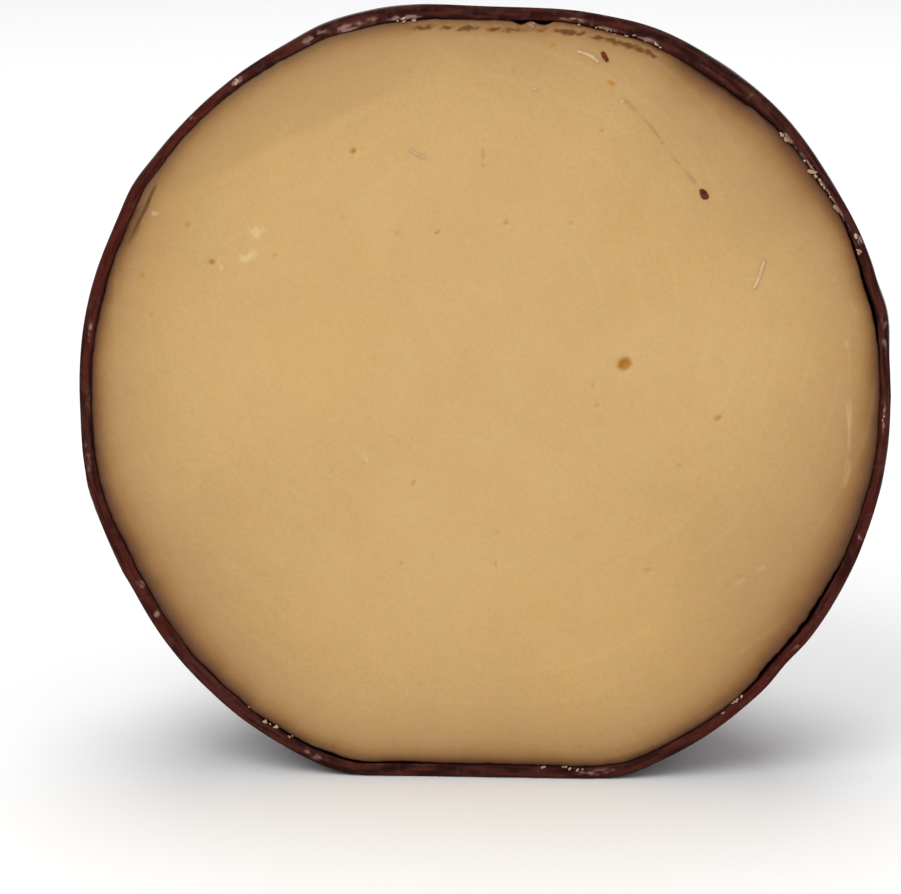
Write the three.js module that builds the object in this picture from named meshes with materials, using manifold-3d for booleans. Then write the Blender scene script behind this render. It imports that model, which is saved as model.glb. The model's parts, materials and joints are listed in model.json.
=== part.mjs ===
// Half of a small waxed ball cheese, stood on the flat spot of its own rind with the cut face to the front.
// Millimetres, +Z up. The cut face looks towards -Y and leans back a little.
import * as THREE from 'three';
import { mergeVertices } from 'three/addons/utils/BufferGeometryUtils.js';
import Module from 'manifold-3d';

const wasm = await Module();
wasm.setup();

// Driving dimensions, in millimetres and degrees.
const ballDiameter = 130; // over the wax
const waxThickness = 2;
const waxGap = 0.3; // between the wax and the paste
const cutOffset = 3; // from the ball's centre forward to the cut, so the piece is a little over half
const leanBack = 9; // the cut face from upright
const baseFlatRadius = 25; // flat spot underneath, on a ball with no swellings
const topFlatRadius = 17.5; // smaller flat on the crown
const topFlatRoll = 2.6; // the crown's flat, down to the right
const topFlatPitch = 5; // and down to the back
const topFlatRounding = 1.2; // how softly the crown's flat runs into the ball

// Low swellings and hollows. Each lies `across` degrees to the right of the crown, as seen from the cut side,
// and `behind` degrees back from the cut, and fades out over `spread` degrees. The first is the sag that the
// ball took while it ripened on its underside: it widens the flat spot under the weight.
const swellings = [
  { across: 180, behind: 35, height: 2.2, spread: 20 },
  { across: -60, behind: 3, height: 0.5, spread: 6 },
  { across: -26, behind: 2, height: 0.4, spread: 7 },
  { across: 43, behind: 6, height: 0.5, spread: 16 },
  { across: 77, behind: 4, height: 0.4, spread: 5 },
  { across: -38, behind: 40, height: 0.5, spread: 15 },
  { across: 24, behind: 52, height: -0.5, spread: 17 },
  { across: 115, behind: 34, height: 0.4, spread: 14 },
  { across: -112, behind: 48, height: -0.4, spread: 13 },
];

// The ball's mesh, about 6 mm between points.
const meridians = 64;
const parallels = 32;

const ballRadius = ballDiameter / 2;
const baseDrop = Math.sqrt(ballRadius ** 2 - baseFlatRadius ** 2); // ball's centre down to the base flat
const topFlatRise = Math.sqrt(ballRadius ** 2 - topFlatRadius ** 2); // ball's centre up to the crown's flat
const lean = THREE.MathUtils.degToRad(leanBack);
const blockSize = 2 * ballDiameter; // blocks that keep a side of a plane reach past the whole ball

const topFlatNormal = new THREE.Vector3(0, 0, 1)
  .applyAxisAngle(new THREE.Vector3(1, 0, 0), -THREE.MathUtils.degToRad(topFlatPitch))
  .applyAxisAngle(new THREE.Vector3(0, 1, 0), THREE.MathUtils.degToRad(topFlatRoll));

// A direction from the ball's centre, before the ball leans back.
function swellingDirection({ across, behind }) {
  const turn = THREE.MathUtils.degToRad(across);
  const back = THREE.MathUtils.degToRad(behind);
  return new THREE.Vector3(Math.sin(turn) * Math.cos(back), Math.sin(back), Math.cos(turn) * Math.cos(back));
}

const swellingShapes = swellings.map((swelling) => ({
  direction: swellingDirection(swelling),
  height: swelling.height,
  spread: THREE.MathUtils.degToRad(swelling.spread),
}));

// The smaller of two distances, rounded over where they are within `rounding` of each other.
function softMinimum(a, b, rounding) {
  const overlap = Math.max(rounding - Math.abs(a - b), 0) / rounding;
  return Math.min(a, b) - (overlap * overlap * rounding) / 4;
}

// How far the outside of the wax is from the ball's centre in a unit direction.
function outsideRadius(direction) {
  let radius = ballRadius;
  for (const { direction: middle, height, spread } of swellingShapes) {
    radius += height * Math.exp(-((direction.angleTo(middle) / spread) ** 2));
  }
  const facing = direction.dot(topFlatNormal);
  return facing > 0 ? softMinimum(radius, topFlatRise / facing, topFlatRounding) : radius;
}

function toSolid(geometry) {
  geometry.deleteAttribute('normal');
  geometry.deleteAttribute('uv');
  const merged = mergeVertices(geometry);
  return new wasm.Manifold(
    new wasm.Mesh({
      numProp: 3,
      vertProperties: new Float32Array(merged.attributes.position.array),
      triVerts: new Uint32Array(merged.index.array),
    }),
  );
}

function toMesh(solid, name, color, roughness) {
  const { vertProperties, triVerts, numProp } = solid.getMesh();
  const geometry = new THREE.BufferGeometry();
  const positions = new THREE.InterleavedBuffer(vertProperties, numProp);
  geometry.setAttribute('position', new THREE.InterleavedBufferAttribute(positions, 3, 0));
  geometry.setIndex(new THREE.BufferAttribute(triVerts, 1));
  geometry.computeVertexNormals();
  const mesh = new THREE.Mesh(geometry, new THREE.MeshStandardMaterial({ color, roughness, metalness: 0 }));
  mesh.name = name;
  return mesh;
}

// The whole ball, `depth` under the outside of the wax, leaning back.
function wholeBall(depth) {
  const geometry = new THREE.SphereGeometry(1, meridians, parallels).rotateX(Math.PI / 2);
  const position = geometry.attributes.position;
  const point = new THREE.Vector3();
  for (let i = 0; i < position.count; i++) {
    point.fromBufferAttribute(position, i).normalize();
    point.multiplyScalar(outsideRadius(point) - depth);
    position.setXYZ(i, point.x, point.y, point.z);
  }
  return toSolid(geometry.rotateX(-lean));
}

// Everything behind the knife's plane.
function behindTheCut() {
  const block = new THREE.BoxGeometry(blockSize, blockSize, blockSize);
  return toSolid(block.translate(0, blockSize / 2 - cutOffset, 0).rotateX(-lean));
}

// Everything above the base flat, or above a plane `raise` higher.
function aboveTheBase(raise) {
  const block = new THREE.BoxGeometry(blockSize, blockSize, blockSize);
  return toSolid(block.translate(0, 0, blockSize / 2 - baseDrop + raise));
}

function waxCoat() {
  const outside = wholeBall(0).intersect(aboveTheBase(0)).intersect(behindTheCut());
  const hollow = wholeBall(waxThickness).intersect(aboveTheBase(waxThickness));
  return toMesh(outside.subtract(hollow), 'wax_coat', 0x3d1c18, 0.4);
}

function cheesePaste() {
  const depth = waxThickness + waxGap;
  const filling = wholeBall(depth).intersect(aboveTheBase(depth)).intersect(behindTheCut());
  return toMesh(filling, 'cheese_paste', 0xcba46c, 0.55);
}

// The group's origin is under the middle of the piece, on the surface that it stands on.
const halfBall = new THREE.Group();
halfBall.add(waxCoat(), cheesePaste());
const extent = new THREE.Box3().setFromObject(halfBall);
const middle = extent.getCenter(new THREE.Vector3());
halfBall.position.set(-middle.x, -middle.y, -extent.min.z);

export default halfBall;
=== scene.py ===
import json
import math
import random

import bmesh
import bpy
import numpy as np
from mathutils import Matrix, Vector, noise


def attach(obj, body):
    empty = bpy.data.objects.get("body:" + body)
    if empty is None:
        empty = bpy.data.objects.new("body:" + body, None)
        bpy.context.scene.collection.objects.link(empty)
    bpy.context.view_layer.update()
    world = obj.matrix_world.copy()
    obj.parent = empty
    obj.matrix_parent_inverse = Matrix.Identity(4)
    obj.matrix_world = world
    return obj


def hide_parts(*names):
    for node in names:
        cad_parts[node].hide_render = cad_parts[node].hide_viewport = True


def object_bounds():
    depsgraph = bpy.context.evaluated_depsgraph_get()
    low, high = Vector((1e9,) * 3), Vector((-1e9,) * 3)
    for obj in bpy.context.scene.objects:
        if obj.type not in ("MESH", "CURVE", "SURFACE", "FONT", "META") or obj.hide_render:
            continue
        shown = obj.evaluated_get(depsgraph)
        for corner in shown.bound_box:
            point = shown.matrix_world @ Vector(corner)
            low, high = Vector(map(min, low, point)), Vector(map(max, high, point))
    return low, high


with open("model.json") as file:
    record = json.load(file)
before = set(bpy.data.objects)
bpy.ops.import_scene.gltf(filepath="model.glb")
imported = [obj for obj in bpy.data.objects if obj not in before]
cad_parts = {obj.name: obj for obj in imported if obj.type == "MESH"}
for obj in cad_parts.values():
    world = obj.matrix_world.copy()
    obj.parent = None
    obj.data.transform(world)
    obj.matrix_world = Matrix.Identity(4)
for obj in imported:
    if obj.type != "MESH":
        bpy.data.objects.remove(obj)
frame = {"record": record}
cadLow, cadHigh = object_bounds()
mm = 0.001

# The ball that the piece was cut from, in millimetres and degrees. A swelling lies so far to the
# right of the crown as seen from the cut side, and so far back from the cut, and has a height and
# a spread.
ball = {
    "cutOffset": 3.0,  # from the ball's middle forward to the cut
    "waxThickness": 2.0,
    "pasteDepth": 2.3,  # the paste's skin under the outside of the wax
    "crownRadius": 18.8,
    "crownRoll": 3.0,
    "crownPitch": 5.0,
    "crownRounding": 1.2,
    "baseRounding": 1.4,
    "swellings": [
        (180, 35, 2.2, 20),
        (-60, 3, 0.5, 6),
        (-26, 2, 0.4, 7),
        (43, 6, 0.5, 16),
        (77, 4, 0.4, 5),
        (-38, 40, 0.5, 15),
        (24, 52, -0.5, 17),
        (115, 34, 0.4, 14),
        (-112, 48, -0.4, 13),
    ],
    # where the outline runs full or slack along the cut: clock angle from the crown, spread, height
    "waves": [
        (-118, 7, -0.35),
        (-102, 6, 0.4),
        (-71, 16, 0.5),
        (-59, 4, 0.4),
        (-50, 6, 0.25),
        (-29, 5, -0.35),
        (-13, 7, -0.6),
        (-1, 7, -0.3),
        (19, 5, -0.6),
        (46, 9, 0.3),
        (67, 8, 0.4),
        (78, 4, 0.6),
        (131, 3, -0.4),
    ],
    "waveDepth": 13,  # how far back the waves reach
    # arcs from the cut to the rings of the skins between wax and paste
    "hiddenSteps": [5, 9, 14, 20, 27, 35, 44, 54, 66, 79, 92],
}

# The cut face gives the ball's own axes: right, back and up. Lengths are in millimetres up to the
# mesh.
mounts = {mount["name"]: mount for mount in frame["record"]["mounts"]}
faceMiddle = np.array(mounts["cut_face"]["pos_m"]) / mm
faceOut = np.array(mounts["cut_face"]["axis"])
faceRight = np.array((1.0, 0.0, 0.0))
faceUp = np.cross(faceOut, faceRight)
ballAxes = np.array((faceRight, -faceOut, faceUp))
ballMiddle = faceMiddle - ball["cutOffset"] * faceOut
ballRadius = (cadHigh.x - cadLow.x) / 2 / mm
baseDrop = ballMiddle[2] - cadLow.z / mm
crownRise = math.sqrt(ballRadius**2 - ball["crownRadius"] ** 2)
quarterTurn = math.pi / 2
wholeTurn = math.pi * 2


def turned(across, behind):
    # unit vectors to the right of the crown and back from the cut, in degrees
    across, behind = np.radians(across), np.radians(behind)
    right, up = np.sin(across) * np.cos(behind), np.cos(across) * np.cos(behind)
    return np.stack((right, np.sin(behind), up), -1)


def roundAxis(clock, polar):
    # unit vectors at a clock angle round the cut face and an angle from the ball's back, in radians
    reach = np.sin(polar)
    return np.stack((np.sin(clock) * reach, np.cos(polar), np.cos(clock) * reach), -1)


crownNormal = turned(ball["crownRoll"], ball["crownPitch"])


def lumps(points, size, seed):
    # soft noise, about -0.5 to 0.5, in lumps about as wide as size
    return np.array([noise.noise(point) for point in (points / size + seed * 17.31).tolist()])


def uneven(points, layers, seed):
    # lumps of several sizes and heights, one over the other
    return sum(
        height * lumps(points, size, seed + index) for index, (size, height) in enumerate(layers)
    )


def hump(distance, width):
    return np.exp(-((distance / width) ** 2))


def fadeIn(value, low, high):
    part = np.clip((value - low) / (high - low), 0, 1)
    return part * part * (3 - 2 * part)


def clockAway(clock, degrees):
    # degrees round the rim from a clock angle
    return (np.degrees(clock) - degrees + 180) % 360 - 180


def softMinimum(a, b, rounding):
    overlap = np.maximum(rounding - np.abs(a - b), 0) / rounding
    return np.minimum(a, b) - overlap * overlap * rounding / 4


def planeDistance(facing, rise):
    return np.where(facing > 0.05, rise / np.maximum(facing, 0.05), 1e6)


def smoothRadius(directions, relief=0.0):
    # how far the outside of the wax is from the ball's middle, with the flats cut into the relief
    radius = ballRadius + relief
    for across, behind, height, spread in ball["swellings"]:
        away = np.arccos(np.clip(directions @ turned(across, behind), -1, 1))
        radius = radius + height * hump(away, math.radians(spread))
    clock = np.arctan2(directions[:, 0], directions[:, 2])
    behind = np.degrees(np.arcsin(np.clip(directions[:, 1], -1, 1)))
    waves = [
        height * hump(clockAway(clock, middle), spread) for middle, spread, height in ball["waves"]
    ]
    full = sum(waves) * hump(behind, ball["waveDepth"])
    crown = planeDistance(directions @ crownNormal, crownRise) + full + relief * 0.6
    base = planeDistance(-(directions @ ballAxes)[:, 2], baseDrop)
    radius = softMinimum(radius + full, crown, ball["crownRounding"])
    return softMinimum(radius, base, ball["baseRounding"])


# The dipped skin: unevenness, long ridges from the crown to the underside, runs and small dents.
skin = {
    "unevenness": [(24, 0.5), (8, 0.22), (2.4, 0.05)],  # size of the lumps, height
    # spacing, length, height and sharpness
    "ridges": [(8.5, 80.0, 0.5, 0.2), (3.4, 50.0, 0.22, 0.16)],
    # wax that ran down and set: across, behind, length and width in degrees, and height
    "runs": [
        (148, 20, 30, 2.2, 0.7),
        (-152, 33, 24, 1.8, 0.6),
        (128, 52, 34, 2.4, 0.7),
        (-128, 60, 26, 1.7, 0.5),
        (-106, 24, 30, 1.9, 0.5),
        # creases
        (64, 34, 44, 0.9, -0.7),
        (-142, 52, 40, 0.8, -0.6),
        (-28, 58, 36, 0.8, -0.5),
    ],
    "flakes": 90,  # pale specks of dried bloom
    "dents": 70,
    "dentDepth": 0.35,
    "rimCalm": 0.3,  # share of the relief that is left at the cut
    "seed": 11,
}


def skinRelief(directions):
    # the relief, and a mask of the crests, where a grey sheen is painted
    points = directions * ballRadius
    relief = uneven(points, skin["unevenness"], 1)
    # the ridges follow meridians round the crown's axis, swaying a little
    east = np.arctan2(directions[:, 0], directions[:, 1]) * ballRadius
    north = np.arcsin(np.clip(directions[:, 2], -1, 1)) * ballRadius
    waist = np.sqrt(np.clip(1 - directions[:, 2] ** 2, 0, 1))
    crests = np.zeros(len(points))
    for index, (spacing, length, height, sharpness) in enumerate(skin["ridges"]):
        sway = spacing * 0.8 * lumps(points, 26, 4 + index)
        drawn = np.stack(((east + sway) / spacing, north / length, 0 * east), -1)
        crest = np.clip(1 - np.abs(lumps(drawn, 1.0, 6 + index)) / sharpness, 0, 1) ** 1.5
        patch = fadeIn(lumps(points, 27, 8 + index), -0.15, 0.2) * fadeIn(waist, 0.25, 0.6)
        relief += height * crest * patch
        crests = np.maximum(crests, crest * patch)
    for across, behind, length, width, height in skin["runs"]:
        start = turned(across, behind)
        side = np.cross(np.array((0.0, 0.0, 1.0)), start)
        side /= np.linalg.norm(side)
        down = np.cross(side, start)
        beside = np.degrees(np.arcsin(np.clip(directions @ side, -1, 1)))
        below = np.degrees(np.arctan2(directions @ down, directions @ start))
        along = np.clip((below + length / 2) / length, 0, 1)
        drop = hump(np.clip(np.abs(below) - length / 2, 0, None), width * 0.8)
        swollen = hump(beside, width * (0.6 + 0.6 * along)) * drop  # wider at its lower end
        relief += height * swollen * fadeIn(along, -0.2, 0.7)
    draw = random.Random(skin["seed"])
    for _ in range(skin["dents"]):
        middle = turned(draw.uniform(-180, 180), math.degrees(math.asin(draw.uniform(0, 1))))
        width, depth = draw.uniform(0.7, 2.4), draw.uniform(0.3, 1.0) * skin["dentDepth"]
        away = np.linalg.norm(directions - middle, axis=1) * ballRadius
        relief -= depth * hump(away, width)
    calm = fadeIn(directions[:, 1], 0.0, 0.25)
    return relief * (skin["rimCalm"] + (1 - skin["rimCalm"]) * calm), crests


def flaked(directions):
    # how much of a pale flake lies at each place on the outside
    draw = random.Random(skin["seed"] + 1)
    flakes = np.zeros(len(directions))
    for _ in range(skin["flakes"]):
        middle = turned(draw.uniform(-180, 180), math.degrees(math.asin(draw.uniform(0.02, 1))))
        size, strength = draw.uniform(0.35, 1.0), draw.uniform(0.4, 1.0)
        away = np.linalg.norm(directions - middle, axis=1) * ballRadius
        flakes = np.maximum(flakes, strength * hump(away, size))
    return flakes * np.clip(1.2 + 2.4 * lumps(directions * ballRadius, 1.1, 56), 0, 1)


# The cut edge of the wax round the paste. Clock angles run clockwise from the crown. Across the
# edge, 0 is the outer corner and 1 the inner one.
edge = {
    "widths": [  # clock, millimetres
        (-180, 2.1),
        (-150, 2.1),
        (-120, 2.35),
        (-105, 2.05),
        (-92, 1.8),
        (-76, 2.05),
        (-52, 1.8),
        (-38, 1.75),
        (-25, 2.3),
        (-18, 2.6),
        (-8, 2.4),
        (3, 2.15),
        (12, 2.1),
        (23, 2.6),
        (34, 2.85),
        (44, 2.5),
        (54, 1.75),
        (64, 1.35),
        (77, 1.8),
        (87, 1.5),
        (105, 1.85),
        (117, 2.0),
        (131, 1.6),
        (150, 1.9),
        (180, 2.1),
    ],
    "ragged": 0.16,
    "gap": 0.05,  # between the wax and the paste, where they hold together
    "loose": [  # clock, spread, gap
        (5.4, 0.9, 0.75),
        (8.6, 1.1, 0.95),
        (20, 6, 0.15),
        (37, 7, 0.4),
        (57, 5, 0.2),
        (70, 6, 0.55),
        (78, 4, 0.5),
        (124, 8, 0.6),
        (134, 5, 0.45),
        (200, 14, 0.3),
        (-10, 5, 0.12),
    ],
    "points": 1640,
    "across": [0.0, 0.06, 0.15, 0.27, 0.4, 0.53, 0.66, 0.78, 0.88, 0.95, 1.0],
    "cornerRounding": 0.25,
    "unevenness": [(12, 0.25), (1.9, 0.18), (0.7, 0.06)],  # size of the lumps, height
    "outerWear": (0.3, 0.16),  # how far the corner is worn down, and how far in
    "innerWear": (0.18, 0.14),
    "scuffs": [  # clock, spread, across, breadth, strength: rubbed grey or smeared with paste
        (-124, 0.5, 0.6, 0.25, 0.7),
        (-119, 0.6, 0.7, 0.3, 0.8),
        (-99, 3.0, 0.45, 0.4, 0.35),
        (-91, 2.5, 0.7, 0.3, 0.3),
        (-81, 1.6, 0.6, 0.15, 0.7),
        (-46.5, 0.4, 0.4, 0.3, 0.6),
        (-38.2, 1.0, 0.55, 0.22, 1.0),
        (-25.5, 2.4, 0.6, 0.3, 0.6),
        (-20.5, 2.6, 0.75, 0.25, 0.8),
        (-17, 1.5, 0.7, 0.2, 0.5),
        (-12.0, 2.4, 0.85, 0.14, 1.0),
        (13, 3.2, 0.75, 0.14, 0.55),
        (18, 2.2, 0.9, 0.16, 0.9),
        (24.5, 1.6, 0.85, 0.14, 0.9),
        (34, 6, 0.68, 0.1, 0.22),
        (41, 0.4, 0.45, 0.8, 0.3),
        (49, 1.2, 0.93, 0.16, 1.3),
        (57, 7.5, 0.94, 0.14, 1.4),
        (66.7, 0.7, 0.35, 0.35, 1.0),
        (78.8, 1.5, 0.35, 0.3, 0.6),
        (82, 2.5, 0.5, 0.3, 0.3),
        (92.2, 2.6, 0.6, 0.14, 0.8),
        (110, 0.8, 0.5, 0.3, 0.5),
        (128, 1.0, 0.4, 0.3, 0.4),
        (163, 3.0, 0.6, 0.3, 0.5),
        (205, 2.0, 0.5, 0.25, 0.6),
    ],
    # at the lower right and lower left the deeper browning is partly painted shade, darker towards
    # the bottom
    "drynessAndShade": [  # clock, spread: where the paste browned deeper
        (5, 16, 0.1),
        (35, 9, 0.7),
        (53, 11, 0.9),
        (97, 14, 0.3),
        (122, 22, 1.2),
        (238, 24, 0.8),
        (-63, 6, 0.15),
    ],
}


def rimPoints(clock):
    return np.stack((np.sin(clock), 0 * clock, np.cos(clock)), -1) * ballRadius


def waxWidth(clock):
    # the widths between the stated ones follow a soft curve
    degrees = np.degrees(clock)
    places, widths = zip(*edge["widths"])
    shifts = (-3, -1, 1, 3)
    nearby = [np.interp((degrees + shift + 180) % 360 - 180, places, widths) for shift in shifts]
    around = rimPoints(clock)
    ragged = edge["ragged"] * (lumps(around, 4.5, 21) + 0.6 * lumps(around, 1.3, 22))
    return sum(nearby) / len(nearby) + ragged


def looseGap(clock):
    gap = edge["gap"] * (1 + lumps(rimPoints(clock), 5, 23))
    for middle, spread, width in edge["loose"]:
        gap += width * hump(clockAway(clock, middle), spread)
    return gap * (1 + 0.5 * lumps(rimPoints(clock), 1.7, 24))


def ringClock(count):
    return np.arange(count) * (wholeTurn / count)


def rimPolar(clock):
    # angle from the ball's back at which the outside of the wax meets the cut
    polar = np.full(len(clock), quarterTurn)
    for _ in range(3):
        directions = roundAxis(clock, polar)
        polar = np.arccos(-ball["cutOffset"] / smoothRadius(directions, skinRelief(directions)[0]))
    return polar


def atClock(values, clock):
    return np.interp(clock, np.append(rimClock, wholeTurn), np.append(values, values[0]))


# The rim is worked out once and read at any clock angle.
rimClock = ringClock(edge["points"])
rimTilt = rimPolar(rimClock)
rimOuter = ball["cutOffset"] * -np.tan(rimTilt)
rimInner = rimOuter - waxWidth(rimClock)
rimPaste = rimInner - looseGap(rimClock)


def inFace(clock, radius, rise):
    # points in the cut, raised out of it
    across, up = radius * np.sin(clock), radius * np.cos(clock)
    return np.stack((across, -ball["cutOffset"] - rise + 0 * across, up), -1)


def hiddenSkin(rim, depth, steps):
    # coarse rings from the cut back over the ball under the wax, which start on the given rim
    clock = ringClock(len(rim))
    reach = np.sqrt(rim**2 + ball["cutOffset"] ** 2)
    polar = np.arccos(-ball["cutOffset"] / reach)
    offset = reach - smoothRadius(roundAxis(clock, polar)) + depth
    rings = []
    for arc in steps:
        share = 1 - arc / (ballRadius * quarterTurn)
        count = max(int(len(rim) * share / 4), 12) if arc > 2 else len(rim)
        turns = ringClock(count)
        polars = np.interp(turns, np.append(clock, wholeTurn), np.append(polar, polar[0])) * share
        starts = np.interp(turns, np.append(clock, wholeTurn), np.append(offset, offset[0]))
        directions = roundAxis(turns, polars)
        radius = smoothRadius(directions) - depth + starts * math.exp(-arc / 1.2)
        rings.append(directions * radius[:, None])
    back = np.array([[0.0, 1.0, 0.0]])
    rings.append(back * (smoothRadius(back) - depth)[:, None])
    return rings


def joinRings(rings):
    # a closed skin over rings that start at one angle and run the same way; an end is one point
    faces, start = [], 0
    for ring, following in zip(rings, rings[1:]):
        here, there = len(ring), len(following)
        goHere, goThere = (here if here > 1 else 0), (there if there > 1 else 0)
        i = j = 0
        while i < goHere or j < goThere:
            if j >= goThere or (i < goHere and (i + 1) * there <= (j + 1) * here):
                faces.append((start + i, start + (i + 1) % here, start + here + j % there))
                i += 1
            else:
                after, at = (j + 1) % there, j % there
                faces.append((start + i % here, start + here + after, start + here + at))
                j += 1
        start += here
    return np.concatenate(rings), np.array(faces)


def toPiece(name, points, faces, masks):
    # a mesh object from points in the ball's axes, faces turned outwards, masks as attributes
    placed = (ballMiddle + points @ ballAxes) * mm
    corners = placed[faces] - placed.mean(0)
    if np.einsum("ij,ij->i", corners[:, 0], np.cross(corners[:, 1], corners[:, 2])).sum() < 0:
        faces = faces[:, ::-1]
    mesh = bpy.data.meshes.new(name)
    mesh.from_pydata(placed.tolist(), [], faces.tolist())
    mesh.polygons.foreach_set("use_smooth", np.ones(len(faces), bool))
    for mask, values in masks.items():
        attribute = mesh.attributes.new(mask, "FLOAT", "POINT")
        attribute.data.foreach_set("value", values.astype(np.float32))
    mesh.update()
    piece = bpy.data.objects.new(name, mesh)
    bpy.context.scene.collection.objects.link(piece)
    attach(piece, "root")
    print(name, len(faces), "faces")
    return piece


# The knife's cut through the paste. Places are to the right of and above the middle of the face.
cut = {
    "unevenness": [(26, 0.12), (8, 0.05), (2.6, 0.025), (0.9, 0.01)],  # size of the lumps, height
    "spacing": 0.42,
    "rimZone": 9,  # the rings are closer together this far in from the edge
    "rimSpacing": 0.26,
    # how the paste drew in at the wax: drop and reach, wider drop and reach
    "rimDrop": (0.2, 0.3, 0.16, 2.5),
    "eyes": [  # right, up, length, width, turn, depth, stain
        (22.4, 5.6, 1.2, 0.98, 25, 1.0, 1.2),
        (-21.1, 39.3, 0.62, 0.52, 30, 0.45, 1.0),
        (-13.9, 26.3, 0.85, 0.7, 0, 0.12, 0.45),
        (-13.5, 23.6, 0.5, 0.45, 0, 0.1, 0.25),
        (37.5, -2.9, 0.72, 0.6, 40, 0.35, 0.8),
        (10.9, 56.3, 0.95, 0.5, 8, 0.2, 0.7),
        (10.0, 58.1, 1.2, 0.7, 5, 0.3, 0.35),
        (20.1, 50.3, 0.75, 0.5, 150, 0.25, 0.95),
        (3.5, 28.0, 0.5, 0.45, 0, 0.3, 0.65),
        (4.6, 32.8, 0.55, 0.45, 0, 0.12, 0.35),
        (13.8, 28.1, 0.5, 0.45, 0, 0.2, 0.45),
        (18.6, 42.9, 0.5, 0.45, 0, 0.25, 0.6),
        (4.6, 52.3, 0.5, 0.45, 0, 0.2, 0.4),
        (-12.1, 51.9, 0.55, 0.45, 0, 0.2, 0.4),
        (-11.2, -13.8, 0.65, 0.5, 60, 0.3, 0.55),
        (2.5, -21.5, 0.6, 0.45, 90, 0.18, 0.5),
        (2.2, -26.7, 0.8, 0.45, 95, 0.2, 0.55),
        (-12.9, -26.7, 0.55, 0.45, 0, 0.25, 0.45),
        (26.5, -27.4, 0.65, 0.45, 30, 0.3, 0.5),
        (-43.7, 21.4, 0.62, 0.52, 0, 0.4, 1.0),
        (-47.6, 27.3, 0.52, 0.46, 30, 0.25, 0.65),
        (-33.6, 22.6, 0.55, 0.45, 0, 0.15, 0.5),
        (-22.7, 28.6, 0.55, 0.45, 0, 0.12, 0.35),
        (-24.8, 38.2, 0.5, 0.45, 0, 0.15, 0.4),
        (17.6, 2.1, 0.5, 0.45, 10, 0.25, 0.5),
        (18.2, -1.0, 0.5, 0.45, 10, 0.25, 0.5),
        (-17.6, 6.2, 1.0, 0.8, 0, 0.08, 0.3),
        (-3.0, 7.3, 0.95, 0.8, 0, 0.08, 0.28),
        (31.5, -10.5, 0.55, 0.45, 0, 0.25, 0.5),
        (-53.3, 12.8, 0.5, 0.45, 0, 0.2, 0.4),
        (-55.0, 19.2, 0.58, 0.46, 0, 0.2, 0.7),
    ],
    "smallEyes": 90,
    "crack": [(21.2, 48.6), (26.2, 43.7), (30.0, 38.6), (34.5, 33.4)],
    # the crack is darkened with painted shade, on top of its shallow groove
    "crackMark": (0.28, 0.08, 0.4),  # half width, depth and darkness
    "torn": (-13, 31, 0.7),  # clock angles where the cut tore by the wax, and how much fresher
    "tornLine": (1.5, 0.42, 0.2),  # from the wax to the torn line, its half width and its depth
    "tornLip": (0.55, 0.35, 0.08),  # the lip on its wax side: how far off, half width and height
    "lipPale": (0.6, 0.2),  # how far off the lip is palest, and how pale
    "sliverMark": (0.27, 0.1),  # half width and depth
    # the slivers' edges are drawn as dark lines of painted shade under the lifted slice
    "slivers": [  # edges of a thin slice that the knife lifted beside the wax: strength and places
        (1.2, [(-52.5, 34.2), (-53.5, 32.2), (-54.2, 30.4), (-55.8, 27.2), (-57.4, 24.0)]),
        (0.4, [(-55.0, 27.6), (-56.6, 24.4)]),
    ],
    "firstStroke": [(-51.2, 31.4), (-23.0, 44.6)],  # edge of the knife's first stroke
    "strokeSlope": 0.065,
    "strokeShade": 0.5,
    "swing": (-0.7, 14.9, 5.6),  # where the knife turned about, and the distance between its arcs
    "arcMark": (0.02, 0.14),  # how high the arcs stand, and how pale they are
    # the ridge that the knife's heel left: height and paleness, and places
    "heelRidge": (0.07, 0.34),
    "heelMark": [(58.2, 14.0), (58.3, 5.0), (58.4, -8.0), (57.6, -16.0)],
    "smears": [  # right, up, length, width, turn, strength: where paste was dragged and dried pale
        (-36.5, 26.3, 1.4, 0.9, 140, 0.42),
        (-37.8, 22.3, 1.8, 1.1, 35, 0.44),
        (-42.4, 21.0, 0.9, 0.4, 100, 0.35),
        (44.8, -26.7, 1.4, 0.6, 30, 0.25),
        (41.2, -29.2, 1.1, 0.5, 20, 0.22),
        (-18.7, -10.2, 0.9, 0.3, 120, 0.35),
        (55.8, 19.3, 0.5, 0.3, 120, 0.3),
        (57.8, 9.0, 0.6, 0.4, 90, 0.3),
        (58.7, 15.2, 1.4, 0.25, 115, 0.25),
        (-44.0, 41.5, 0.4, 0.3, 0, 0.5),
        (-52.9, 29.0, 0.6, 0.5, 0, 0.4),
    ],
    "seed": 5,
}


def lineAway(across, up, points):
    # distance to a line through the points, and how far along it, from 0 to 1
    best, along = np.full(across.shape, 1e6), np.zeros(across.shape)
    for index, ((x0, y0), (x1, y1)) in enumerate(zip(points, points[1:])):
        dx, dy = x1 - x0, y1 - y0
        part = np.clip(((across - x0) * dx + (up - y0) * dy) / (dx * dx + dy * dy), 0, 1)
        away = np.hypot(across - x0 - part * dx, up - y0 - part * dy)
        along = np.where(away < best, (index + part) / (len(points) - 1), along)
        best = np.minimum(best, away)
    return best, along


def spot(across, up, right, high, length, width, turn):
    # how far a place is from the middle of an oval, 1 at its edge
    c, s = math.cos(math.radians(turn)), math.sin(math.radians(turn))
    dx, dy = across - right, up - high
    return np.hypot((dx * c + dy * s) / length, (dy * c - dx * s) / width)


def allEyes():
    eyes = list(cut["eyes"])
    draw = random.Random(cut["seed"])
    for _ in range(cut["smallEyes"]):
        clock, reach = draw.uniform(0, wholeTurn), 59 * math.sqrt(draw.random())
        length = draw.uniform(0.2, 0.42)
        width = length * draw.uniform(0.6, 0.95)
        right, up = reach * math.sin(clock), reach * math.cos(clock)
        turn, depth, stain = draw.uniform(0, 180), draw.uniform(0.05, 0.18), draw.uniform(0.05, 0.3)
        eyes.append((right, up, length, width, turn, depth, stain))
    return eyes


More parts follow.
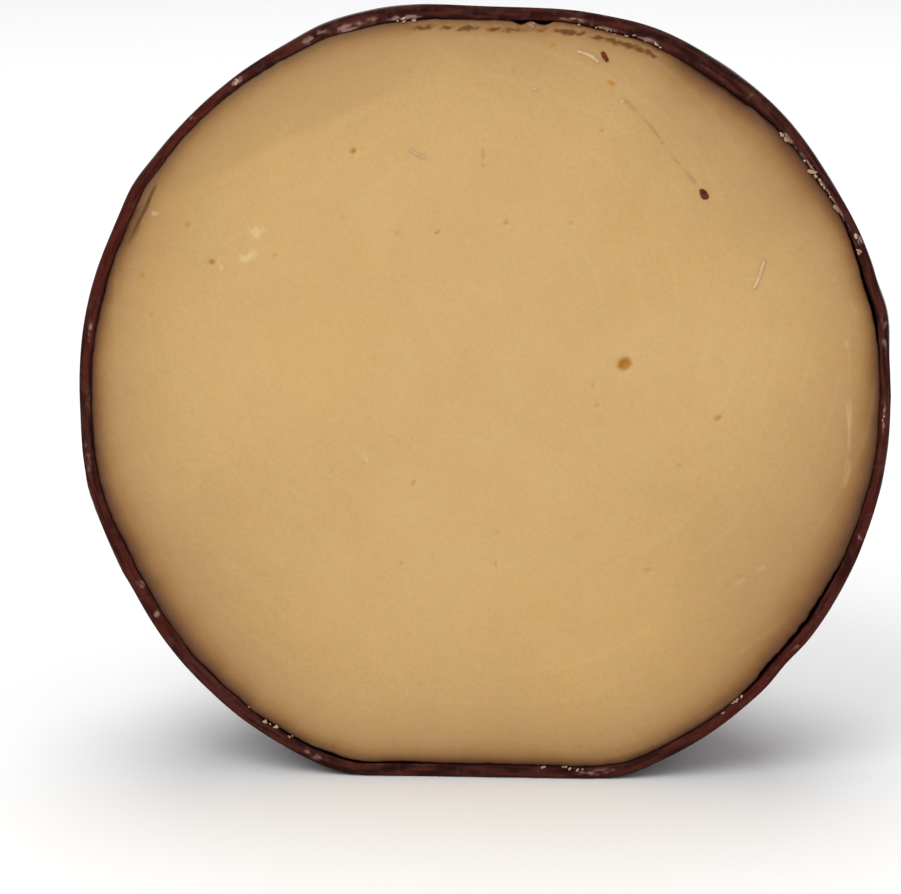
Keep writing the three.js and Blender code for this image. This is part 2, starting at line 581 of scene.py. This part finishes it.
def pastStroke(across, up):
    # how far a place lies past the edge of the first stroke, and how much the stroke shows there
    (x0, y0), (x1, y1) = cut["firstStroke"]
    past = ((across - x0) * (y0 - y1) + (up - y0) * (x1 - x0)) / math.hypot(x1 - x0, y1 - y0)
    flat = np.stack((across, up, 0 * across), -1)
    return past + 0.5 * lumps(flat, 9, 38), fadeIn(-across, 4, 20)


def strokeRise(across, up):
    past, share = pastStroke(across, up)
    return cut["strokeSlope"] * np.logaddexp(0, past * 1.5) / 1.5 * share


def tornShare(clock):
    first, last, _ = cut["torn"]
    return fadeIn(clockAway(clock, first), 0, 3) * fadeIn(-clockAway(clock, last), 0, 4)


def cutRelief(clock, radius, inset):
    # rise out of the cut, and the masks that colour it, at points so far in from the paste's edge
    across, up = radius * np.sin(clock), radius * np.cos(clock)
    flat = np.stack((across, up, 0 * across), -1)
    rise = uneven(flat, cut["unevenness"], 31)
    drop, reach, wideDrop, wideReach = cut["rimDrop"]
    rise -= drop * np.exp(-inset / reach) + wideDrop * np.exp(-inset / wideReach)
    stain, pale, creaseShade = np.zeros((3, len(across)))

    # faint arcs where the knife was worked round
    right, high, step = cut["swing"]
    swing = np.hypot(across - right, up - high) + 1.5 * lumps(flat, 21, 35)
    arc = hump((swing / step) % 1 - 0.5, 0.09) * fadeIn(lumps(flat, 13, 36), -0.1, 0.25)
    arcHeight, arcPale = cut["arcMark"]
    rise += arcHeight * arc
    pale += arcPale * arc

    for right, high, length, width, turn, depth, tint in allEyes():
        near = np.hypot(across - right, up - high) < 4 * length
        away = spot(across[near], up[near], right, high, length, width, turn)
        away = away * (1 + 0.35 * lumps(flat[near], 1.1, 30.4))
        bowl = np.exp(-1.2 * away**3.4)
        rise[near] -= depth * bowl
        stain[near] = np.maximum(stain[near], tint * bowl)

    away, along = lineAway(across, up, cut["crack"])
    ends = fadeIn(along, 0, 0.1) * (1 - fadeIn(along, 0.9, 1))
    width, depth, dark = cut["crackMark"]
    line = hump(away + 0.3 * lumps(flat, 2.0, 37), width) * ends
    line *= 0.9 + 0.3 * lumps(flat, 3.1, 46)
    rise -= depth * line
    creaseShade += dark * line

    width, depth = cut["sliverMark"]
    for strength, sliver in cut["slivers"]:
        away, along = lineAway(across, up, sliver)
        ends = np.sin(np.pi * np.clip(along, 0, 1)) ** 0.5
        line = hump(away + 0.12 * lumps(flat, 1.6, 47), width) * ends
        rise -= depth * strength * line
        creaseShade += strength * line

    past, share = pastStroke(across, up)
    rise += strokeRise(across, up)
    pale -= cut["strokeShade"] * fadeIn(past, -0.3, 1.0) * share

    away, along = lineAway(across, up, cut["heelMark"])
    away = away + 0.5 * lumps(flat, 6, 40)
    broken = fadeIn(lumps(flat, 3.6, 39), -0.6, 0.2) * np.sin(np.pi * np.clip(along, 0.02, 0.98))
    ridge, ridgePale = cut["heelRidge"]
    rise += ridge * hump(away, 0.4) * broken
    pale += ridgePale * hump(away, 0.3) * broken

    # the cut tore along the crown, just under the wax, and least at the hollows; its dark dashes
    # in the stain and creaseShade masks are painted shadow under the lifted flakes
    (away, width, depth), (lipAway, lipWidth, lipHeight) = cut["tornLine"], cut["tornLip"]
    ragged = atClock(rimInner, clock) - radius - away
    ragged -= 0.25 * lumps(flat, 2.3, 41) + 0.5 * lumps(flat, 0.8, 42)
    slanted = np.stack((across + 1.5 * inset, 0 * across, 0 * across), -1)
    dashes = fadeIn(lumps(slanted, 1.9, 43), -0.36, -0.1) * tornShare(clock)
    dashes *= 1 - 0.6 * hump(clockAway(clock, 7), 2.5)
    tear = hump(ragged, width) * dashes
    rise += lipHeight * hump(ragged + lipAway, lipWidth) * dashes - depth * tear
    stain += 0.9 * tear
    creaseShade += tear * (1.05 + 0.7 * lumps(flat, 0.7, 44))
    paleAway, lipPale = cut["lipPale"]
    pale += lipPale * hump(ragged + paleAway, lipWidth) * dashes

    for right, high, length, width, turn, strength in cut["smears"]:
        near = np.hypot(across - right, up - high) < 3 * length
        away = spot(across[near], up[near], right, high, length, width, turn)
        blot = fadeIn(-away - 1.1 * lumps(flat[near], 0.9, 45), -1.25, -0.35)
        rise[near] += 0.06 * blot
        pale[near] += strength * blot
    return rise, np.clip(stain, 0, 1.3), pale, np.clip(creaseShade, 0, 1)


def browningAndRimShade(clock, inset):
    # the depth below the wax that the browning and the painted rim shade reach: the paste dried
    # deeper at some places, and less in a gap or where it tore
    drynessAndShade = [
        more * hump(clockAway(clock, middle), spread) for middle, spread, more in edge["drynessAndShade"]
    ]
    fresher = 0.8 * atClock(rimInner - rimPaste, clock) + cut["torn"][2] * tornShare(clock)
    return (inset + fresher) / (1 + sum(drynessAndShade))


def makePaste():
    # rings out from the middle of the face, over its edge and round the hidden back
    inner = np.arange(0, ballRadius - cut["rimZone"], cut["spacing"])
    steps = int(cut["rimZone"] / cut["rimSpacing"])
    outer = np.linspace(ballRadius - cut["rimZone"], ballRadius, steps + 1)
    rings, masks = [], {"inset": [], "stain": [], "pale": [], "creaseShade": []}
    for share in np.append(inner, outer) / ballRadius:
        count = max(int(wholeTurn * share * ballRadius / cut["spacing"]), 1)
        clock = ringClock(count)
        radius = share * atClock(rimPaste, clock)
        inset = (1 - share) * atClock(rimPaste, clock)
        rise, *marks = cutRelief(clock, radius, inset)
        rings.append(inFace(clock, radius, rise))
        for mask, values in zip(masks, (browningAndRimShade(clock, inset), *marks)):
            masks[mask].append(values)
    rim = atClock(rimPaste, ringClock(len(rings[-1])))
    hidden = hiddenSkin(rim, ball["pasteDepth"], [0.9, 2.2] + ball["hiddenSteps"])
    points, faces = joinRings(rings + hidden)
    spare = np.zeros(sum(len(ring) for ring in hidden))
    attributes = {mask: np.append(np.concatenate(values), spare) for mask, values in masks.items()}
    return toPiece("cheesePaste", points, faces, attributes)


print("cutting the paste")
cheesePaste = makePaste()


dip = {
    "spacing": 0.65,  # between points on the outside, finer at the cut
    "firstSteps": [0.0, 0.22, 0.48, 0.8, 1.2, 1.7],
}


def scuffed(clock, across, flat):
    # how much the cut edge is rubbed or smeared at a place, broken up by noise
    rubbed = np.zeros(len(clock))
    for middle, spread, place, breadth, strength in edge["scuffs"]:
        here = hump(clockAway(clock, middle), spread) * hump(across - place, breadth)
        rubbed = np.maximum(rubbed, strength * here)
    # the streaks run along the edge
    drawn = np.stack((flat[:, 0] / 1.3, flat[:, 2] / 1.3, across * 6), -1)
    return np.clip(rubbed * (0.85 + 1.1 * lumps(flat, 0.8, 54) + 1.5 * lumps(drawn, 1.0, 55)), 0, 1)


def edgeRise(clock, part, width, flat):
    # the cut edge of the wax: uneven, worn at its outer corner and rolled over at the paste
    (broad, broadHeight), (small, smallHeight), (fine, fineHeight) = edge["unevenness"]
    rise = broadHeight * lumps(rimPoints(clock), broad, 51)
    rise += smallHeight * lumps(flat, small, 52) + fineHeight * lumps(flat, fine, 53)
    rise += strokeRise(flat[:, 0], flat[:, 2])
    for (depth, reach), away in ((edge["outerWear"], part), (edge["innerWear"], 1 - part)):
        rise -= depth * np.exp(-away * width / reach)
    return rise


def makeWax():
    arcs = list(dip["firstSteps"])
    whole = ballRadius * quarterTurn
    while arcs[-1] < whole - dip["spacing"]:
        arcs.append(arcs[-1] + dip["spacing"])
    masks = {"cutEdge": [], "rubbed": [], "crest": [], "streakAndGapShade": []}
    rings = []
    for arc in reversed(arcs[1:]):
        share = 1 - arc / whole
        wide = wholeTurn * ballRadius * math.sin(share * quarterTurn) / dip["spacing"]
        clock = ringClock(max(int(wide * (1 + 1.3 * math.exp(-arc / 1.5))), 6))
        directions = roundAxis(clock, atClock(rimTilt, clock) * share)
        relief, crests = skinRelief(directions)
        radius = smoothRadius(directions, relief) - edge["cornerRounding"] * math.exp(-arc / 0.3)
        rings.append(directions * radius[:, None])
        masks["cutEdge"].append(0 * clock)
        masks["crest"].append(crests)
        masks["streakAndGapShade"].append(0 * clock)
        rubbed = scuffed(clock, 0 * clock - arc / 2, directions * ballRadius)
        masks["rubbed"].append(np.maximum(rubbed, flaked(directions)))
    width = rimOuter - rimInner
    for part in edge["across"]:
        rounding = edge["cornerRounding"] * max(1 - part / 0.1, 0)
        radius = rimOuter - rounding - width * part
        flat = inFace(rimClock, radius, 0)
        rings.append(inFace(rimClock, radius, edgeRise(rimClock, part, width, flat)))
        masks["cutEdge"].append(0 * rimClock + min(part / 0.06, 1))
        masks["crest"].append(0 * rimClock)
        drawn = np.stack((flat[:, 0] / 5, flat[:, 2] / 5, 0 * rimClock + part * 4), -1)
        # darker towards the paste: painted shade from the gap between the wax and the paste
        streakAndGapShade = 0.4 + 1.7 * lumps(drawn, 1.0, 57) + 0.5 * fadeIn(part, 0.7, 0.95)
        streakAndGapShade += 0.4 * hump(clockAway(rimClock, 22), 42)  # the wax was thickest there, and darkest
        masks["streakAndGapShade"].append(np.clip(streakAndGapShade, 0, 1))
        masks["rubbed"].append(scuffed(rimClock, part + 0 * rimClock, flat))
    back = np.array([[0.0, 1.0, 0.0]])
    tip = smoothRadius(back, skinRelief(back)[0])[:, None]
    hidden = hiddenSkin(rimInner, ball["waxThickness"], [0.7, 1.8] + ball["hiddenSteps"])
    points, faces = joinRings([back * tip] + rings + hidden)
    spare = sum(len(ring) for ring in hidden)
    ends = {"cutEdge": 1.0, "rubbed": 0.0, "crest": 0.0, "streakAndGapShade": 1.0}
    attributes = {
        mask: np.concatenate([np.zeros(1)] + values + [np.full(spare, ends[mask])])
        for mask, values in masks.items()
    }
    return toPiece("waxCoat", points, faces, attributes)


print("dipping the wax")
waxCoat = makeWax()


# Loose scraps from the cutting. They cling where the knife left them.
scraps = {
    "cheese": [  # right, up, length, width, height, turn
        (-7.6, 26.5, 0.32, 0.26, 0.2, 20),
        (7.9, 49.2, 0.4, 0.33, 0.2, 0),
        (-0.4, 37.2, 0.22, 0.2, 0.12, 0),
        (21.8, 47.4, 0.3, 0.2, 0.2, 60),
    ],
    "wax": [
        (18.9, 54.5, 0.85, 0.4, 0.35, 118),
        (34.9, 32.8, 0.86, 0.58, 0.35, 126),
    ],
    "shavings": [  # right, up, length, width, turn, bend, lift: the lift is a share of the length
        (-10.8, 38.9, 2.9, 0.5, -29, 0.08, 0.05),
        (16.3, 54.6, 4.1, 0.55, -26, -0.08, 0.03),
        (43.8, 20.0, 5.1, 0.72, 71, 0.03, 0.03),
        (-0.4, 38.9, 1.6, 0.3, -85, 0.05, 0.03),
    ],
    "rim": [  # clock, spread, number, size, across the edge: crumbs that stuck along the wax
        (49.0, 1.0, 6, 0.24, 1.0),
        (55.8, 0.7, 4, 0.28, 1.05),
        (57.0, 5.0, 14, 0.13, 0.97),
        (61.2, 0.8, 4, 0.3, 1.05),
        (66.0, 0.5, 2, 0.26, 0.55),
        (68.3, 0.8, 3, 0.18, 0.85),
        (19.0, 5.0, 10, 0.14, 0.95),
        (26.0, 1.2, 3, 0.2, 0.9),
        (-12.0, 1.8, 8, 0.2, 0.95),
        (-38.2, 0.6, 3, 0.3, 0.55),
        (7.0, 0.5, 4, 0.32, 1.4),
        (92.0, 2.0, 3, 0.12, 0.65),
        (141.0, 2.0, 5, 0.26, 1.0),
        (168.0, 5.0, 8, 0.24, 0.9),
        (212.0, 5.0, 8, 0.22, 1.0),
    ],
    "shavingThickness": 0.24,
    "clearance": 0.06,  # under the shavings
    "seed": 3,
}


def crumbTemplate(finer):
    shape = bmesh.new()
    bmesh.ops.create_icosphere(shape, subdivisions=3 if finer else 2, radius=1)
    points = np.array([vertex.co[:] for vertex in shape.verts])
    faces = np.array([[vertex.index for vertex in face.verts] for face in shape.faces])
    shape.free()
    return points, faces


def makeCrumb(right, up, rise, lengths, turn, seed, torn=0.6):
    # one crumb that sits in the face, its lengths along it, across it and out of it
    points, faces = crumbTemplate(lengths[0] > 0.5)
    size = 1 + torn * (lumps(points, 1.1, seed) + 0.3 * lumps(points, 0.45, seed + 0.5))
    blocky = np.sign(points) * np.abs(points) ** 0.72
    points = blocky * size[:, None] * np.array(lengths)
    c, s = math.cos(math.radians(turn)), math.sin(math.radians(turn))
    across = right + points[:, 0] * c - points[:, 1] * s
    high = up + points[:, 0] * s + points[:, 1] * c
    return np.stack((across, -ball["cutOffset"] - rise - points[:, 2], high), -1), faces


def faceRise(right, up):
    clock, reach = np.array([math.atan2(right, up) % wholeTurn]), np.array([math.hypot(right, up)])
    return float(cutRelief(clock, reach, np.maximum(atClock(rimPaste, clock) - reach, 0))[0][0])


def makeShaving(right, up, length, width, turn, bend, lift):
    # a thin curl of paste, thick in the middle and drawn out at its ends
    count, sides = 22, 8
    rings = []
    c, s = math.cos(math.radians(turn)), math.sin(math.radians(turn))
    rise = faceRise(right, up)
    for along in np.linspace(0, 1, count):
        body = max(math.sin(math.pi * along), 0.0) ** 0.15 if 0 < along < 1 else 0.0
        wobble = 1 + 0.4 * noise.noise(Vector((along * 4, right, up)))
        around = ringClock(sides) if 0 < along < 1 else np.zeros(1)
        side = width / 2 * body * wobble * np.cos(around)
        high = scraps["shavingThickness"] / 2 * body * np.sin(around)
        high += length * lift * (2 * along - 1) ** 2 + scraps["clearance"]
        forward = (along - 0.5) * length + 0 * around
        side = side + bend * length * ((2 * along - 1) ** 2 - 0.5)
        x, z = right + forward * c - side * s, up + forward * s + side * c
        rings.append(np.stack((x, -ball["cutOffset"] - rise - high, z), -1))
    return joinRings(rings)


def makeScraps(name, parts):
    # several loose bits as one piece
    points, faces, start = [], [], 0
    for places, corners in parts:
        points.append(places)
        faces.append(corners + start)
        start += len(places)
    return toPiece(name, np.concatenate(points), np.concatenate(faces), {})


def rimCrumbs():
    draw = random.Random(scraps["seed"])
    crumbs = []
    for middle, spread, number, size, place in scraps["rim"]:
        for _ in range(number):
            clock = np.radians(np.array([draw.gauss(middle, spread / 2)])) % wholeTurn
            outer, inner = atClock(rimOuter, clock)[0], atClock(rimInner, clock)[0]
            reach = outer + (inner - outer) * (place + draw.gauss(0, 0.08))
            right, up = reach * math.sin(clock[0]), reach * math.cos(clock[0])
            length = size * draw.uniform(0.6, 1.4)
            lengths = (length * draw.uniform(1.0, 1.7), length * 0.7, length * 0.5)
            turn = -math.degrees(clock[0]) + draw.gauss(0, 25)
            rise = float(strokeRise(np.array([right]), np.array([up]))[0]) + 0.02
            crumbs.append(makeCrumb(right, up, rise, lengths, turn, draw.uniform(0, 50)))
    return crumbs


def faceCrumbs(kind, torn):
    crumbs = []
    for index, (right, up, *lengths, turn) in enumerate(scraps[kind]):
        crumbs.append(makeCrumb(right, up, faceRise(right, up), lengths, turn, 3 + index, torn))
    return crumbs


print("dropping the scraps")
cheeseCrumbs = makeScraps("cheeseCrumbs", faceCrumbs("cheese", 0.6))
rimScraps = makeScraps("rimCrumbs", rimCrumbs())
waxCrumbs = makeScraps("waxCrumbs", faceCrumbs("wax", 0.3))
shavings = makeScraps("shavings", [makeShaving(*shaving) for shaving in scraps["shavings"]])


class Socket:
    # wraps a node's output, so that sums on it add Math nodes
    def __init__(self, finish, output):
        self.finish = finish
        self.output = output

    def maths(self, operation, first, second):
        return self.finish.node("ShaderNodeMath", {"operation": operation}, {0: first, 1: second})

    def __add__(self, other):
        return self.maths("ADD", self, other)

    def __sub__(self, other):
        return self.maths("SUBTRACT", self, other)

    def __rsub__(self, other):
        return self.maths("SUBTRACT", other, self)

    def __mul__(self, other):
        return self.maths("MULTIPLY", self, other)

    def __truediv__(self, other):
        return self.maths("DIVIDE", self, other)

    def __pow__(self, other):
        return self.maths("POWER", self, other)

    __radd__ = __add__
    __rmul__ = __mul__


def shade(red, green, blue):
    # a paint chart's colour, 0 to 255, for a socket
    return tuple(((part / 255 + 0.055) / 1.055) ** 2.4 for part in (red, green, blue)) + (1.0,)


class Finish:
    def __init__(self, name):
        self.material = bpy.data.materials.new(name)
        self.material.use_nodes = True
        self.tree = self.material.node_tree
        self.tree.nodes.clear()
        self.place = self.node("ShaderNodeTexCoord", output="Object")

    def node(self, kind, settings=None, sockets=None, output=0):
        made = self.tree.nodes.new(kind)
        for setting, value in (settings or {}).items():
            if setting == "stops":
                stops = made.color_ramp.elements
                for index, (position, colour) in enumerate(value):
                    stop = stops[index] if index < len(stops) else stops.new(position)
                    stop.position, stop.color = position, colour
            else:
                setattr(made, setting, value)
        for socket, value in (sockets or {}).items():
            if isinstance(value, Socket):
                self.tree.links.new(value.output, made.inputs[socket])
            else:
                made.inputs[socket].default_value = value
        return Socket(self, made.outputs[output]) if output is not None else None

    def mask(self, name):
        return self.node("ShaderNodeAttribute", {"attribute_name": name}, output="Fac")

    def noise(self, scale, detail=2, roughness=0.5, place=None):
        sockets = {"Vector": place or self.place, "Scale": scale}
        sockets.update({"Detail": detail, "Roughness": roughness})
        return self.node("ShaderNodeTexNoise", None, sockets, "Fac")

    def stretched(self, x, y, z):
        return self.node("ShaderNodeMapping", None, {"Vector": self.place, "Scale": (x, y, z)})

    def between(self, value, low, high, least=0.0, most=1.0):
        settings = {"interpolation_type": "SMOOTHSTEP"}
        sockets = {"Value": value, "From Min": low, "From Max": high}
        sockets.update({"To Min": least, "To Max": most})
        return self.node("ShaderNodeMapRange", settings, sockets)

    def mix(self, factor, first, second, blend="MIX"):
        settings = {"data_type": "RGBA", "blend_type": blend, "clamp_factor": True}
        return self.node("ShaderNodeMix", settings, {0: factor, 6: first, 7: second}, 2)

    def ramp(self, value, stops):
        return self.node("ShaderNodeValToRGB", {"stops": stops}, {"Fac": value}, "Color")

    def bump(self, height, strength, distance):
        sockets = {"Height": height, "Strength": strength, "Distance": distance}
        return self.node("ShaderNodeBump", None, sockets, "Normal")

    def surface(self, sockets):
        shader = self.node("ShaderNodeBsdfPrincipled", None, sockets, "BSDF")
        self.node("ShaderNodeOutputMaterial", None, {"Surface": shader}, None)
        return self.material


pasteLook = {
    "body": shade(208, 171, 112),
    "cloud": shade(205, 167, 109),
    "warm": shade(210, 169, 103),
    "rosy": shade(208, 167, 114),
    "grain": shade(170, 130, 80),
    "stain": shade(184, 124, 22),
    "creaseShade": shade(90, 50, 14),
    "pale": shade(240, 218, 176),
    "shaded": shade(168, 132, 84),
    "roughness": 0.5,
    # these tints hold the paste's own browning by the wax and painted shade at the rim
    "browningAndRimShade": [  # millimetres from the wax, and the tint there
        (0.0, shade(58, 40, 30)),
        (0.25, shade(98, 71, 59)),
        (0.7, shade(140, 114, 98)),
        (1.2, shade(169, 148, 126)),
        (1.8, shade(193, 177, 163)),
        (2.8, shade(212, 204, 193)),
        (4.0, shade(225, 218, 216)),
        (7.5, shade(238, 235, 231)),
        (12, shade(247, 245, 243)),
        (18, shade(252, 251, 249)),
        (30, shade(255, 255, 255)),
    ],
}


def cutPasteFinish():
    finish = Finish("cutPaste")
    inset, stain = finish.mask("inset"), finish.mask("stain")
    pale, creaseShade = finish.mask("pale"), finish.mask("creaseShade")
    cloud = finish.noise(70, 3, 0.55)
    body = finish.mix(finish.between(cloud, 0.35, 0.65), pasteLook["body"], pasteLook["cloud"])
    for tint, pattern, low, high, most in (
        ("warm", finish.noise(28), 0.48, 0.72, 0.5),
        ("rosy", finish.noise(330, 3, 0.6), 0.45, 0.65, 0.5),
        ("grain", finish.noise(1700, 2, 0.6), 0.4, 0.7, 0.14),
    ):
        body = finish.mix(finish.between(pattern, low, high) * most, body, pasteLook[tint])
    # dried and browned towards the wax, with painted shade at the rim in the same ramp; the ramp is
    # drawn against the root of the depth
    deepest = pasteLook["browningAndRimShade"][-1][0]
    stops = [(math.sqrt(depth / deepest), tint) for depth, tint in pasteLook["browningAndRimShade"]]
    depth = (inset * (0.8 + finish.noise(230, 3, 0.6) * 0.4) / deepest) ** 0.5
    body = finish.mix(1.0, body, finish.ramp(depth, stops), "MULTIPLY")
    body = finish.mix(finish.between(stain, 0.1, 1.0) * 0.93, body, pasteLook["stain"])
    body = finish.mix(finish.between(pale, 0.0, 1.0) * 0.75, body, pasteLook["pale"])
    body = finish.mix(finish.between(0.0 - pale, 0.0, 1.0) * 0.45, body, pasteLook["shaded"])
    # painted shade in the crack, along the sliver edges and in the torn line
    body = finish.mix(finish.between(creaseShade, 0.0, 1.0) * 0.9, body, pasteLook["creaseShade"])
    relief = finish.noise(1500, 3, 0.6) + finish.noise(420) * 0.8
    low, high = pasteLook["roughness"] - 0.05, pasteLook["roughness"] + 0.08
    return finish.surface(
        {
            "Base Color": body,
            "Roughness": finish.between(cloud, 0.3, 0.7, low, high),
            "Normal": finish.bump(relief, 0.12, 0.0004),
            "Subsurface Weight": 0.1,
            "Subsurface Radius": (0.0035, 0.002, 0.0009),
            "Subsurface Scale": 1.0,
            "Specular IOR Level": 0.3,
        }
    )


crumbLooks = {  # body, dry and brown
    "freshCrumb": (shade(201, 163, 117), shade(214, 183, 140), shade(188, 140, 90)),
    "driedCrumb": (shade(180, 138, 108), shade(206, 170, 138), shade(136, 88, 62)),
}


def crumbFinish(name):
    finish = Finish(name)
    body, dry, brown = crumbLooks[name]
    body = finish.mix(finish.between(finish.noise(500), 0.4, 0.6), body, dry)
    body = finish.mix(finish.between(finish.noise(260, 3), 0.48, 0.66) * 0.7, body, brown)
    return finish.surface(
        {
            "Base Color": body,
            "Roughness": finish.between(finish.noise(900), 0.3, 0.7, 0.45, 0.65),
            "Normal": finish.bump(finish.noise(2200, 3, 0.6), 0.25, 0.0003),
            "Subsurface Weight": 0.2,
            "Subsurface Radius": (0.002, 0.0012, 0.0006),
            "Subsurface Scale": 1.0,
        }
    )


waxLook = {
    "body": shade(50, 22, 19),
    "deep": shade(32, 13, 13),
    "cutBody": shade(74, 33, 25),
    "cutDeep": shade(38, 11, 8),
    "red": shade(84, 28, 16),
    # grey of the rubbed streaks, and of the painted sheen on the crests
    "bloomAndSheen": shade(104, 80, 76),
    "smear": shade(150, 118, 108),
    "scrap": shade(114, 44, 20),
    "grease": 0.06,  # how much the bare wax shines, under its coat
}


def waxFinish():
    finish = Finish("darkWax")
    cutEdge, rubbed, crest = finish.mask("cutEdge"), finish.mask("rubbed"), finish.mask("crest")
    broad = finish.between(finish.noise(60, 3, 0.55), 0.38, 0.62)
    body = finish.mix(broad, waxLook["body"], waxLook["deep"])
    # the section's dark streaks include painted shade along the paste
    section = finish.mix(finish.mask("streakAndGapShade"), waxLook["cutBody"], waxLook["cutDeep"])
    body = finish.mix(cutEdge, body, section)
    body = finish.mix(finish.between(finish.noise(30), 0.5, 0.7) * 0.45, body, waxLook["red"])
    # grey rubbed streaks, longer than they are wide, and in the same streaks a painted grey sheen
    # on the crests
    streaks = finish.noise(200, 4, 0.65, finish.stretched(2.2, 2.2, 0.45))
    patchy = finish.between(finish.noise(45), 0.42, 0.62)
    scuffAndSheen = finish.between(streaks, 0.54, 0.72) * patchy * 0.35
    scuffAndSheen = scuffAndSheen + crest * finish.between(streaks, 0.4, 0.6) * 0.3
    body = finish.mix(scuffAndSheen * (1.0 - cutEdge), body, waxLook["bloomAndSheen"])
    dragged = finish.between(finish.noise(700, 3, 0.6), 0.5, 0.68) * cutEdge * 0.13
    body = finish.mix(dragged, body, waxLook["bloomAndSheen"])
    body = finish.mix(finish.between(rubbed, 0.12, 0.85) * 0.8, body, waxLook["smear"])
    roughness = finish.between(streaks, 0.35, 0.7, 0.26, 0.48) + cutEdge * 0.15
    relief = finish.noise(260, 4, 0.6) + finish.noise(1300) * 0.3
    return finish.surface(
        {
            "Base Color": body,
            "Roughness": roughness,
            "Normal": finish.bump(relief, 0.3, 0.0004),
            "Coat Weight": (1.0 - cutEdge) * 0.4,
            "Coat Roughness": 0.22,
            "Specular IOR Level": waxLook["grease"],
        }
    )


def waxScrapFinish():
    finish = Finish("waxScrap")
    spots = finish.between(finish.noise(900), 0.45, 0.65)
    body = finish.mix(spots, waxLook["scrap"], waxLook["cutBody"])
    roughness = finish.between(finish.noise(1400), 0.3, 0.7, 0.35, 0.5)
    return finish.surface({"Base Color": body, "Roughness": roughness, "Specular IOR Level": 0.1})


print("finishing the surfaces")
freshSurface = crumbFinish("freshCrumb")
finishes = {
    cheesePaste: (cutPasteFinish(), "paste"),
    waxCoat: (waxFinish(), "wax"),
    cheeseCrumbs: (freshSurface, "paste"),
    rimScraps: (crumbFinish("driedCrumb"), "paste"),
    shavings: (freshSurface, "paste"),
    waxCrumbs: (waxScrapFinish(), "wax"),
}
for piece, (surface, slot) in finishes.items():
    piece.data.materials.append(surface)
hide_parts("cheese_paste")
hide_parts("wax_coat")


# The table, the lights and the camera, in millimetres and degrees round the middle of the ball.
studio = {
    "floorSize": 8000,
    "azimuth": 2.5,
    "elevation": 12.0,
    "distance": 700,
    "lens": 174.0,
    "aimRight": -5.45,
    "aimUp": -8.05,
    "room": 0.55,
    "lights": {  # azimuth, elevation, distance, size, power
        "keyLight": (-32, 46, 1500, 1200, 9.5),
        "fillLight": (55, 30, 1600, 1500, 2.5),
        "backLight": (180, 62, 1500, 1200, 12),
    },
}


def makeFloor():
    half = studio["floorSize"] * mm / 2
    mesh = bpy.data.meshes.new("floor")
    corners = [(-half, -half, 0), (half, -half, 0), (half, half, 0), (-half, half, 0)]
    mesh.from_pydata(corners, [], [(0, 1, 2, 3)])
    floor = bpy.data.objects.new("floor", mesh)
    bpy.context.scene.collection.objects.link(floor)
    finish = Finish("paleFloor")
    mesh.materials.append(finish.surface({"Base Color": shade(243, 243, 243), "Roughness": 0.75}))


def aimed(thing, azimuth, elevation, distance):
    # places a light or the camera round the ball's middle, looking at it
    a, e = math.radians(azimuth), math.radians(elevation)
    away = Vector((math.sin(a) * math.cos(e), -math.cos(a) * math.cos(e), math.sin(e)))
    thing.location = Vector(ballMiddle * mm) + away * distance * mm
    thing.rotation_euler = away.to_track_quat("Z", "Y").to_euler()


def makeLight(name, azimuth, elevation, distance, size, power):
    lamp = bpy.data.lights.new(name, "AREA")
    lamp.shape, lamp.size, lamp.energy = "DISK", size * mm, power
    light = bpy.data.objects.new(name, lamp)
    bpy.context.scene.collection.objects.link(light)
    aimed(light, azimuth, elevation, distance)


def makeCamera():
    camera = bpy.data.objects.new("camera", bpy.data.cameras.new("camera"))
    bpy.context.scene.collection.objects.link(camera)
    camera.data.lens = studio["lens"]
    camera.data.clip_start, camera.data.clip_end = 0.01, 50
    aimed(camera, studio["azimuth"], studio["elevation"], studio["distance"])
    turn = camera.rotation_euler.to_quaternion()
    aim = Vector((studio["aimRight"], studio["aimUp"], -studio["distance"])).normalized()
    aside = Vector((0, 0, -1)).rotation_difference(aim)
    camera.rotation_euler = (turn @ aside).to_euler()
    bpy.context.scene.camera = camera


print("lighting the table")
makeFloor()
for name, setting in studio["lights"].items():
    makeLight(name, *setting)
world = bpy.data.worlds.new("paleRoom")
world.use_nodes = True
world.node_tree.nodes["Background"].inputs["Color"].default_value = (1, 1, 1, 1)
world.node_tree.nodes["Background"].inputs["Strength"].default_value = studio["room"]
bpy.context.scene.world = world
bpy.context.scene.view_settings.view_transform = "Standard"
makeCamera()
